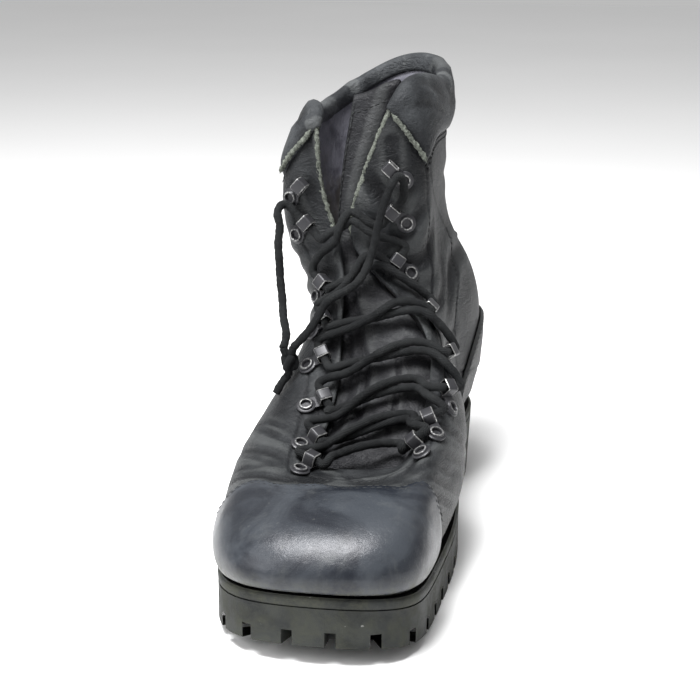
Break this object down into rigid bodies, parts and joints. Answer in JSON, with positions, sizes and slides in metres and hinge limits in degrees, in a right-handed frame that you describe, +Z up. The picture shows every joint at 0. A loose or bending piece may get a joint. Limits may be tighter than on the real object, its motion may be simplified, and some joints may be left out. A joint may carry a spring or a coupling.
{
  "type": "combat boot",
  "caption": "Worn black leather combat boot for the right foot, laced through steel keepers, with a padded collar folded open and a lugged rubber sole",
  "frame": {"origin": "on the ground under the middle of the heel", "axes": "+Z up, the toe towards -Y and the heel towards +Y, the inner (medial) side of the right foot towards +X"},
  "size_m": [0.1123, 0.316, 0.231],
  "materials": {
    "leather": "matte, worn",
    "rubber": "matte, dusty",
    "insole": "matte",
    "steel": "black paint, worn bright at the edges",
    "lace": "matte, fuzzy"
  },
  "bodies": {
    "root": {"collar": "leather", "heel": "rubber", "heel_counter": "leather", "insole": "insole", "keeper_inner_1": "steel", "keeper_inner_2": "steel", "keeper_inner_3": "steel", "keeper_inner_4": "steel", "keeper_inner_5": "steel", "keeper_inner_6": "steel", "keeper_inner_7": "steel", "keeper_inner_8": "steel", "keeper_outer_1": "steel", "keeper_outer_2": "steel", "keeper_outer_3": "steel", "keeper_outer_4": "steel", "keeper_outer_5": "steel", "keeper_outer_6": "steel", "keeper_outer_7": "steel", "keeper_outer_8": "steel", "lace_bar": "lace", "lace_crossing_1": "lace", "lace_crossing_2": "lace", "lace_crossing_3": "lace", "lace_crossing_4": "lace", "lace_crossing_5": "lace", "lace_crossing_6": "lace", "lace_end_1": "lace", "lace_end_2": "lace", "lace_knot": "lace", "lace_tail": "lace", "midsole": "rubber", "outsole": "rubber", "toe_cap": "leather", "tongue": "leather", "upper": "leather"}
  },
  "joints": []
}
